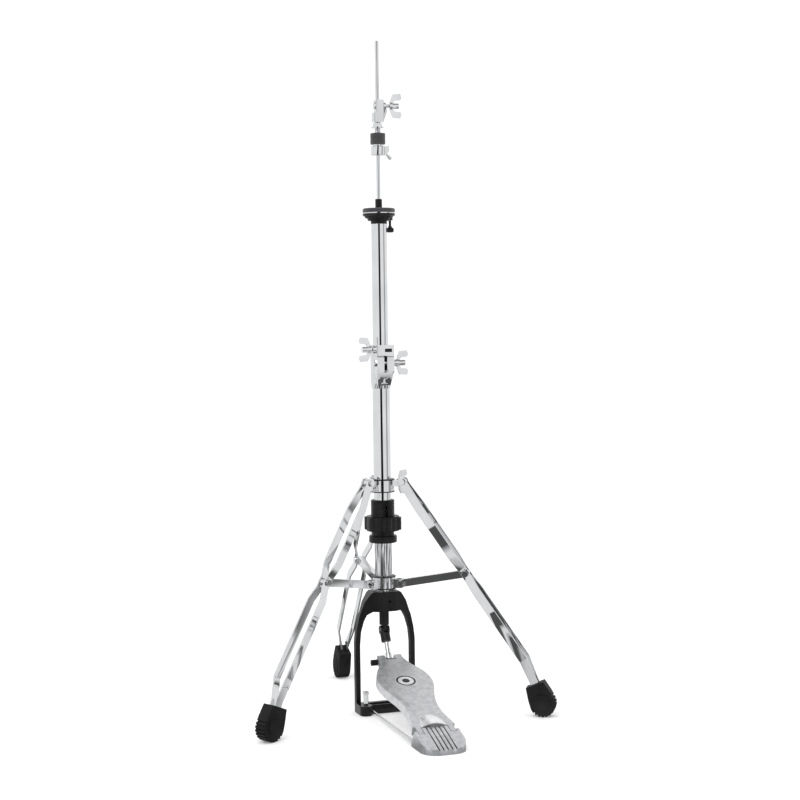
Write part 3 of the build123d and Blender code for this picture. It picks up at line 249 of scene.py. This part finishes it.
def repeated(name, bm, edge, group, **values):
    """The mesh that a repeater makes of one unit, as a plain piece."""
    unit = finished(name + "_unit", bm, 0)
    tool = unit.modifiers.new("repeat", "NODES")
    tool.node_group = group
    for item in group.interface.items_tree:
        if item.item_type == "SOCKET" and item.in_out == "INPUT" and item.name in values:
            tool[item.identifier] = values[item.name]
    unit.update_tag()
    bpy.context.view_layer.update()
    finished_unit = unit.evaluated_get(bpy.context.evaluated_depsgraph_get())
    made = bpy.data.meshes.new_from_object(finished_unit)
    whole = bmesh.new()
    whole.from_mesh(made)
    bpy.data.objects.remove(unit)
    return finished(name, whole, edge)


# dark strips laid in the grooves between the ribs: painted shade that stands in for the grooves'
# depth
groove_shade = surface("groove painted shade", (0.008, 0.008, 0.009), (0.025, 0.025, 0.026), (0.6, 0.9),
                1800.0, 400.0, 0.4, 0.0001, Specular_IOR_Level=0.15)
bm = bmesh.new()
bmesh.ops.create_cube(bm, size=1.0)
for vertex in bm.verts:
    run = GROOVE_TO if vertex.co.y > 0 else GROOVE_FROM
    high = RISE - GROOVE_DEEP * GROOVE_OPEN if vertex.co.z > 0 else RISE - GROOVE_DEEP
    vertex.co = HINGE + ALONG * run + OUT * high + Vector((vertex.co.x * GROOVE_WIDE, 0, 0))
fix(repeated("groove_painted_shade", bm, 0.0, repeater("even row"), Count=GROOVES, Finish=groove_shade,
             First=(-GROOVE_PITCH * (GROOVES - 1) / 2, 0, 0), Step=(GROOVE_PITCH, 0, 0)),
    "base", "cast_aluminium", groove_shade)
fix(casting("hinge_pin", "heel_hinge_pin", 0.0004), "base", "bright_steel", wire, "heel_hinge_pin")

# ---- Footboard -------------------------------------------------------------------------------
# The long cast board, tumbled like the heel plate, with a raised panel and a plain dark disc let
# into it. A steel pin and a black knurled knob hold the link at its toe.

# the disc's dark dot and dark ring, as radii, and the radius that the colour stops span
CENTRE, RING_IN, RING_OUT, RING_SPAN = 0.0062, 0.0128, 0.0160, 0.02
inlay = surface("dark inlay", (0.44, 0.445, 0.46), (0.70, 0.705, 0.72), (0.22, 0.36),
                1300.0, 90.0, 0.4, 0.0001)
lo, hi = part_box("badge_disc")
tree = inlay.node_tree
place, middle, radius, rings, mixed = [tree.nodes.new("ShaderNode" + kind) for kind in (
    "TexCoord", "Mapping", "VectorMath", "ValToRGB", "Mix")]
middle.inputs["Location"].default_value = -(lo + hi) / 2
radius.operation = "LENGTH"
reach = tree.nodes.new("ShaderNodeMath")
reach.operation = "DIVIDE"
reach.inputs[1].default_value = RING_SPAN
rings.color_ramp.interpolation = "CONSTANT"
rings.color_ramp.elements[0].color = (1, 1, 1, 1)
for at, shade in ((CENTRE, 0.0), (RING_IN, 1.0), (RING_OUT, 0.0)):
    stop = rings.color_ramp.elements.new(at / RING_SPAN)
    stop.color = (shade, shade, shade, 1)
rings.color_ramp.elements.remove(rings.color_ramp.elements[-1])
mixed.data_type = "RGBA"
mixed.inputs[7].default_value = (0.006, 0.006, 0.007, 1)
metal = tree.nodes["Principled BSDF"].inputs["Base Color"].links[0].from_socket
tree.links.new(place.outputs["Object"], middle.inputs["Vector"])
tree.links.new(middle.outputs["Vector"], radius.inputs[0])
tree.links.new(radius.outputs["Value"], reach.inputs[0])
tree.links.new(reach.outputs["Value"], rings.inputs["Fac"])
tree.links.new(rings.outputs["Color"], mixed.inputs["Factor"])
tree.links.new(metal, mixed.inputs[6])
tree.links.new(mixed.outputs[2], tree.nodes["Principled BSDF"].inputs["Base Color"])
PANEL_FROM, PANEL_FADE, PANEL_RISE = 0.050, 0.167, 0.0014
PANEL_SUNK = 0.00005                 # how far the faded panel ends below the board's face


def fade_panel(co):
    """The raised panel sinks to the board's own face towards the heel."""
    run, high = (co - HINGE).dot(ALONG), (co - HINGE).dot(OUT)
    if high > RISE + PANEL_RISE / 2 and run > PANEL_FROM - 0.001:
        share = min(1.0, max(0.0, (run - PANEL_FROM) / PANEL_FADE))
        co -= OUT * (PANEL_RISE + PANEL_SUNK) * (1 - share)


fix(casting("board", "footboard", 0.0007, reshape=fade_panel), "footboard", "cast_aluminium",
    cast, "footboard")
fix(casting("disc", "badge_disc", 0.0003), "footboard", "badge", inlay, "badge_disc")

# a polished half dome on the board, just above the heel hinge, its light colour partly a painted
# highlight
SWELL_HALF, SWELL_LONG, SWELL_HIGH, SWELL_FROM = 0.0200, 0.035, 0.0058, 0.0153
SWELL_FULLNESS, SWELL_SKIRT = 0.9, 0.0016
SIDE_STEPS, OUT_STEPS = 28, 12
bm = bmesh.new()
rows = []
for i in range(OUT_STEPS + 1):
    rim = i / OUT_STEPS
    row = []
    for j in range(SIDE_STEPS + 1):
        turn = pi * j / SIDE_STEPS
        x, run = rim * SWELL_HALF * cos(turn), SWELL_FROM + rim * SWELL_LONG * sin(turn)
        high = RISE + SWELL_HIGH * (1 - rim * rim) ** SWELL_FULLNESS
        row.append(bm.verts.new(HINGE + ALONG * run + OUT * high + Vector((x, 0, 0))))
    rows.append(row)
for lower, upper in zip(rows, rows[1:]):
    for k in range(SIDE_STEPS):
        bm.faces.new((lower[k], upper[k], upper[k + 1], lower[k + 1]))
bmesh.ops.remove_doubles(bm, verts=bm.verts, dist=1e-6)
skirt = bmesh.ops.extrude_edge_only(bm, edges=[e for e in bm.edges if e.is_boundary])
skirt = [v for v in skirt["geom"] if isinstance(v, bmesh.types.BMVert)]
bmesh.ops.translate(bm, verts=skirt, vec=-OUT * SWELL_SKIRT)
bmesh.ops.contextual_create(bm, geom=[e for e in bm.edges if e.is_boundary])
bmesh.ops.recalc_face_normals(bm, faces=bm.faces)
# the dome's colour is lighter than the board's: polished metal, and a painted highlight
polish_and_highlight = surface("polish and painted highlight", (0.84, 0.84, 0.85), (0.92, 0.92, 0.93), (0.26, 0.34),
                 900.0, 60.0, 0.5, 0.00002, metallic=0.75)
fix(finished("swell", bm, 0.0003), "footboard", "cast_aluminium", polish_and_highlight)
fix(casting("toe_pin_steel", "toe_pin", 0.0002), "footboard", "bright_steel", wire, "toe_pin")
fix(casting("toe_knob_black", "toe_knob", 0.0003), "toe_knob", "black_paint", enamel, "toe_knob")

# ---- Link and pull rod -----------------------------------------------------------------------
# A moulded fork swings on a pin under the pull rod and a chromed eye bolt runs from it to the toe.
# The rod itself is two lengths of steel joined by sleeves, one bright, one chromed.

nylon = surface("black nylon", (0.004, 0.004, 0.005), (0.009, 0.009, 0.010), (0.28, 0.42),
                1800.0, 200.0, 0.3, 0.00006, Specular_IOR_Level=0.25)
fix(casting("swivel", "link_swivel", 0.0004), "link", "black_plastic", nylon, "link_swivel")
fix(casting("eye_bolt", "link_rod", 0.0003), "link", "chrome", chrome, "link_rod")
fix(casting("swivel_pin", "link_pin", 0.0002), "pull_rod", "bright_steel", wire, "link_pin")
fix(casting("sleeve", "rod_sleeve", 0.0004), "pull_rod", "black_plastic", nylon, "rod_sleeve")
fix(casting("rod_low", "lower_rod", 0.0003), "pull_rod", "bright_steel", wire, "lower_rod")
fix(casting("rod_high", "upper_rod", 0.0), "pull_rod", "chrome", chrome, "upper_rod")

# ---- Lower tube, spring housing and tension knob ---------------------------------------------
# The 28.6 mm chromed tube stands in the yoke's hub. A threaded nylon housing on it holds the pull
# spring, and a lobed nylon knob on the thread lifts a steel follower that loads the spring.

spring_steel = surface("spring steel", (0.22, 0.22, 0.23), (0.36, 0.36, 0.37), (0.25, 0.4),
                       900.0, 80.0, 0.3, 0.00002, metallic=1.0)
fix(casting("tube_low", "lower_tube", 0.0003), "base", "chrome", chrome, "lower_tube")
fix(casting("housing", "spring_housing", 0.0002), "base", "black_plastic", nylon, "spring_housing")
fix(casting("knob", "tension_knob", 0.0008), "knob", "black_plastic", nylon, "tension_knob")
fix(casting("follower", "spring_follower", 0.0003), "follower", "spring_steel", spring_steel,
    "spring_follower")
# the pull coil, given a mesh of its own
spring = casting("spring", "pull_spring", 0.0, angle=60.0)
lo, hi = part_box("pull_spring")
fix(spring, "base", "spring_steel", spring_steel, "pull_spring")
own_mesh(spring)

# ---- Tripod collars --------------------------------------------------------------------------
# Two chromed castings on nylon bushes carry the legs and the braces on steel bolts. The upper one
# is locked to the tube by a cast wing bolt.

cast_chrome = surface("chrome on castings", (0.62, 0.63, 0.64), (0.72, 0.73, 0.74), (0.03, 0.09),
                      420.0, 90.0, 0.7, 0.00006, metallic=1.0)
for level in ("lower", "upper"):
    body = "tripod_" + level
    fix(casting(level + "_clamp", level + "_collar", 0.0007), body, "cast_chrome", cast_chrome,
        level + "_collar")
    fix(casting(level + "_bushes", level + "_collar_bushes", 0.0004), body, "black_plastic", nylon,
        level + "_collar_bushes")
fix(casting("brace_bolts", "brace_pivot_bolts", 0.0005), "tripod_lower", "chrome", chrome,
    "brace_pivot_bolts")
fix(casting("leg_bolts", "leg_pivot_bolts", 0.0005), "tripod_upper", "chrome", chrome,
    "leg_pivot_bolts")
fix(casting("collar_wing_casting", "collar_wing_bolt", 0.0010), "collar_wing", "cast_chrome",
    cast_chrome, "collar_wing_bolt")

# ---- Legs and braces -------------------------------------------------------------------------
# Each leg is two pressed chromed straps riveted together past their knees, with a moulded rubber
# foot on the end. A channel brace ties each leg back to the lower collar.

rubber = surface("rubber", (0.004, 0.004, 0.005), (0.012, 0.012, 0.013), (0.5, 0.7),
                 1600.0, 260.0, 0.3, 0.00018, Specular_IOR_Level=0.2)
for side in ("left", "right", "rear"):
    leg, brace = "leg_" + side, "brace_" + side
    fix(casting("straps_" + side, "leg_straps_" + side, 0.0008), leg, "chrome", chrome,
        "leg_straps_" + side)
    fix(casting("rivets_" + side, "leg_rivets_" + side, 0.0004), leg, "chrome", chrome,
        "leg_rivets_" + side)
    fix(casting("rubber_" + side, "foot_" + side, 0.0009), leg, "rubber", rubber, "foot_" + side)
    fix(casting("channel_" + side, "brace_" + side, 0.0008), brace, "chrome", chrome,
        "brace_" + side)

# ---- Height clamp and memory lock ------------------------------------------------------------
# A split chromed casting at the top of the lower tube grips the upper one, closed by a bolt and a
# cast wing nut. A memory lock rests on it, with a wing bolt of its own and a plain dark inlay.

fix(casting("clamp", "height_clamp", 0.0008), "base", "cast_chrome", cast_chrome, "height_clamp")
fix(casting("bushing", "clamp_bushing", 0.0003), "base", "black_plastic", nylon, "clamp_bushing")
fix(casting("bolt", "clamp_bolt", 0.0004), "base", "chrome", chrome, "clamp_bolt")
fix(casting("wing_nut", "height_wing_nut", 0.0010), "height_wing", "cast_chrome", cast_chrome,
    "height_wing_nut")
fix(casting("lock_ring", "memory_lock", 0.0008), "lock", "cast_chrome", cast_chrome, "memory_lock")
INLAY_ACROSS, INLAY_BEHIND, INLAY_SIZE = 0.0048, 0.0001, (0.0120, 0.0008, 0.0056)
lo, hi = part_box("memory_lock")
inlay_place = Matrix.Translation((INLAY_ACROSS, lo.y + INLAY_BEHIND, (lo.z + hi.z) / 2))
bm = bmesh.new()
bmesh.ops.create_cube(bm, size=1.0, matrix=inlay_place @ Matrix.Diagonal((*INLAY_SIZE, 1.0)))
fix(finished("lock_inlay", bm, 0.0003), "lock", "badge", enamel)
fix(casting("lock_wing_casting", "memory_wing_bolt", 0.0010), "lock_wing", "cast_chrome",
    cast_chrome, "memory_wing_bolt")

# ---- Upper tube and cymbal seat --------------------------------------------------------------
# The 25.4 mm tube carries a nylon cup, a chromed plate and a felt washer for the lower cymbal. A
# black screw under the cup's edge tips the plate.

felt = surface("felt", (0.018, 0.018, 0.02), (0.05, 0.05, 0.053), (0.85, 0.98),
               2600.0, 500.0, 0.35, 0.0004, patch=300.0, by="Speckle",
               Sheen_Weight=0.3, Sheen_Roughness=0.5)
fix(casting("tube_high", "upper_tube", 0.0003), "upper_tube", "chrome", chrome, "upper_tube")
fix(casting("cup", "seat_base", 0.0006), "upper_tube", "black_plastic", nylon, "seat_base")
fix(casting("seat_sleeve_moulding", "seat_sleeve", 0.0003), "upper_tube", "black_plastic", nylon,
    "seat_sleeve")
fix(casting("plate", "seat_plate", 0.0003), "seat", "chrome", chrome, "seat_plate")
fix(casting("washer", "seat_felt", 0.0015), "seat", "felt", felt, "seat_felt")
fix(casting("tilt_screw_black", "tilt_screw", 0.0003), "tilt_screw", "black_paint", enamel,
    "tilt_screw")

# ---- Clutch ----------------------------------------------------------------------------------
# A cast head clamps the clutch to the rod. Its threaded sleeve carries a lock nut, two felts for
# the upper cymbal, and a bottom nut that a small slanting key screw pins.

fix(casting("clutch_head", "clutch_body", 0.0007), "clutch", "cast_chrome", cast_chrome,
    "clutch_body")
fix(casting("clutch_thread", "clutch_sleeve", 0.0), "clutch", "chrome", chrome, "clutch_sleeve")
fix(casting("lock_nut", "clutch_lock_nut", 0.0003), "clutch", "chrome", chrome, "clutch_lock_nut")
fix(casting("clutch_washers", "clutch_felts", 0.0012), "clutch", "felt", felt, "clutch_felts")
fix(casting("bottom_nut", "clutch_bottom_nut", 0.0004), "clutch", "chrome", chrome,
    "clutch_bottom_nut")
fix(casting("clutch_wing_casting", "clutch_wing_bolt", 0.0010), "clutch_wing", "cast_chrome",
    cast_chrome, "clutch_wing_bolt")
fix(casting("key_screw", "clutch_key_screw", 0.0003), "clutch_key", "chrome", chrome,
    "clutch_key_screw")

# ---- Floor, light and camera -----------------------------------------------------------------
# The camera sees a plain white floor, an even white surround and a soft light. Reflections alone
# see a patchy floor with one dark spot, two dark upright cards and a darker ceiling, for contrast.

FLOOR_RADIUS, FLOOR_DROP = 2.3, 0.0004
bm = bmesh.new()
bmesh.ops.create_circle(bm, cap_ends=True, segments=128, radius=FLOOR_RADIUS,
                        matrix=Matrix.Translation((0, 0, -FLOOR_DROP)))
mesh = bpy.data.meshes.new("floor")
bm.to_mesh(mesh)
bm.free()
floor = bpy.data.objects.new("floor", mesh)
bpy.context.scene.collection.objects.link(floor)
white = bpy.data.materials.new("white floor")
white.use_nodes = True
tree = white.node_tree
body = tree.nodes["Principled BSDF"]
body.inputs["Base Color"].default_value = (0.93, 0.93, 0.93, 1)
body.inputs["Roughness"].default_value = 0.95
body.inputs["Specular IOR Level"].default_value = 0.0
body.inputs["Emission Color"].default_value = (1, 1, 1, 1)
body.inputs["Emission Strength"].default_value = 0.12
place, uneven, shade, glow, ray, mix = [tree.nodes.new("ShaderNode" + kind) for kind in (
    "TexCoord", "TexNoise", "MapRange", "Emission", "LightPath", "MixShader")]
# the floor in reflections: patches, and a dark spot that grows lighter between two radii
PATCH_SCALE, PATCH_SHIFT = 2.2, (3.1, 0.4, 0.0)
DARK_SPOT, SPOT_IN, SPOT_OUT = (-0.80, -1.05, 0.0), 0.42, 0.62
uneven.inputs["Scale"].default_value = PATCH_SCALE
shift, away, spot, least = [tree.nodes.new("ShaderNode" + kind) for kind in (
    "Mapping", "VectorMath", "MapRange", "Math")]
shift.inputs["Location"].default_value = PATCH_SHIFT
away.operation = "DISTANCE"
away.inputs[1].default_value = DARK_SPOT
for label, value in (("From Min", SPOT_IN), ("From Max", SPOT_OUT), ("To Min", 0.10),
                     ("To Max", 1.0)):
    spot.inputs[label].default_value = value
least.operation = "MINIMUM"
for label, value in (("From Min", 0.44), ("From Max", 0.54), ("To Min", 0.10),
                     ("To Max", 0.95)):
    shade.inputs[label].default_value = value
tree.links.new(place.outputs["Object"], shift.inputs["Vector"])
tree.links.new(shift.outputs["Vector"], uneven.inputs["Vector"])
tree.links.new(place.outputs["Object"], away.inputs[0])
tree.links.new(away.outputs["Value"], spot.inputs["Value"])
tree.links.new(spot.outputs["Result"], least.inputs[0])
tree.links.new(shade.outputs["Result"], least.inputs[1])
tree.links.new(uneven.outputs["Fac"], shade.inputs["Value"])
tree.links.new(least.outputs["Value"], glow.inputs["Strength"])
tree.links.new(ray.outputs["Is Glossy Ray"], mix.inputs["Fac"])
tree.links.new(body.outputs["BSDF"], mix.inputs[1])
tree.links.new(glow.outputs["Emission"], mix.inputs[2])
tree.links.new(mix.outputs["Shader"], tree.nodes["Material Output"].inputs["Surface"])
floor.data.materials.append(white)

# where the camera stands: its turn about the tube, its distance and its height
VIEW_TURN, VIEW_FAR, VIEW_HIGH = radians(-17.95), 2.806, 0.6795
toward = Vector((sin(VIEW_TURN), -cos(VIEW_TURN), 0.0))


def dark_card(tree, direction, inner, outer, depth):
    """How much of the light from around one level direction a dark upright card takes away."""
    place = tree.nodes.new("ShaderNodeTexCoord")
    level = tree.nodes.new("ShaderNodeVectorMath")
    level.operation = "MULTIPLY"
    level.inputs[1].default_value = (1, 1, 0)
    unit = tree.nodes.new("ShaderNodeVectorMath")
    unit.operation = "NORMALIZE"
    facing = tree.nodes.new("ShaderNodeVectorMath")
    facing.operation = "DOT_PRODUCT"
    facing.inputs[1].default_value = direction
    edge = tree.nodes.new("ShaderNodeMapRange")
    edge.interpolation_type = "SMOOTHSTEP"
    for label, value in (("From Min", cos(outer)), ("From Max", cos(inner)),
                         ("To Min", 1.0), ("To Max", 1.0 - depth)):
        edge.inputs[label].default_value = value
    tree.links.new(place.outputs["Generated"], level.inputs[0])
    tree.links.new(level.outputs[0], unit.inputs[0])
    tree.links.new(unit.outputs[0], facing.inputs[0])
    tree.links.new(facing.outputs["Value"], edge.inputs["Value"])
    return edge.outputs["Result"]


world = bpy.data.worlds.new("surround")
bpy.context.scene.world = world
world.use_nodes = True
tree = world.node_tree
# the front card stands on the camera's side, fixed in place; the other is a turn away from it.
# each card's half width, the half width at which it has faded out, and the light it takes
SIDE_CARD_TURN = radians(74)
FRONT_CARD = (radians(11), radians(15), 0.99)
SIDE_CARD = (radians(4), radians(13), 0.6)
SURROUND = 1.08                      # the surround's strength as the camera sees it
around = Matrix.Rotation(SIDE_CARD_TURN, 3, "Z") @ toward
front = dark_card(tree, toward, *FRONT_CARD)
side = dark_card(tree, around, *SIDE_CARD)
both = tree.nodes.new("ShaderNodeMath")
both.operation = "MULTIPLY"
seen = tree.nodes.new("ShaderNodeLightPath")
strength = tree.nodes.new("ShaderNodeMix")
strength.inputs["A"].default_value = SURROUND
tree.links.new(front, both.inputs[0])
tree.links.new(side, both.inputs[1])
tree.links.new(seen.outputs["Is Glossy Ray"], strength.inputs["Factor"])
# the ceiling darkens as it gets steeper
height = tree.nodes.new("ShaderNodeSeparateXYZ")
overhead = tree.nodes.new("ShaderNodeMapRange")
for label, value in (("From Min", 0.6), ("From Max", 0.85), ("To Min", 1.0), ("To Max", 0.4)):
    overhead.inputs[label].default_value = value
lit = tree.nodes.new("ShaderNodeMath")
lit.operation = "MULTIPLY"
tree.links.new(tree.nodes["Texture Coordinate"].outputs["Generated"], height.inputs["Vector"])
tree.links.new(height.outputs["Z"], overhead.inputs["Value"])
tree.links.new(both.outputs[0], lit.inputs[0])
tree.links.new(overhead.outputs["Result"], lit.inputs[1])
tree.links.new(lit.outputs[0], strength.inputs["B"])
tree.links.new(strength.outputs["Result"], tree.nodes["Background"].inputs["Strength"])
tree.nodes["Background"].inputs["Color"].default_value = (1, 1, 1, 1)

key = bpy.data.lights.new("soft light", "AREA")
key.energy, key.size = 26.0, 1.8
key_object = bpy.data.objects.new("soft light", key)
key_object.location = (-1.6, -1.6, 2.8)
aim = Vector((0, 0, 0.4)) - key_object.location
key_object.rotation_euler = aim.to_track_quat("-Z", "Y").to_euler()
bpy.context.scene.collection.objects.link(key_object)

# the camera looks a little to one side of the tube, slightly down, and leans a touch
AIM_ASIDE, AIM_DOWN, LEAN = 0.0110, 0.0585, -0.0126
heading, tip, roll = VIEW_TURN - AIM_ASIDE, AIM_DOWN, LEAN
ahead = Vector((-sin(heading) * cos(tip), cos(heading) * cos(tip), -sin(tip)))
right = Vector((cos(heading), sin(heading), 0.0))
up = right.cross(ahead)
right, up = right * cos(roll) + up * sin(roll), up * cos(roll) - right * sin(roll)
lens = bpy.data.cameras.new("camera")
lens.lens, lens.sensor_width = 76.89, 36.0
camera = bpy.data.objects.new("camera", lens)
turn = Matrix((right, up, -ahead)).transposed().to_4x4()
stand = Matrix.Translation((toward.x * VIEW_FAR, toward.y * VIEW_FAR, VIEW_HIGH))
camera.matrix_world = stand @ turn
bpy.context.scene.collection.objects.link(camera)
bpy.context.scene.camera = camera
bpy.context.scene.view_settings.view_transform = "Standard"
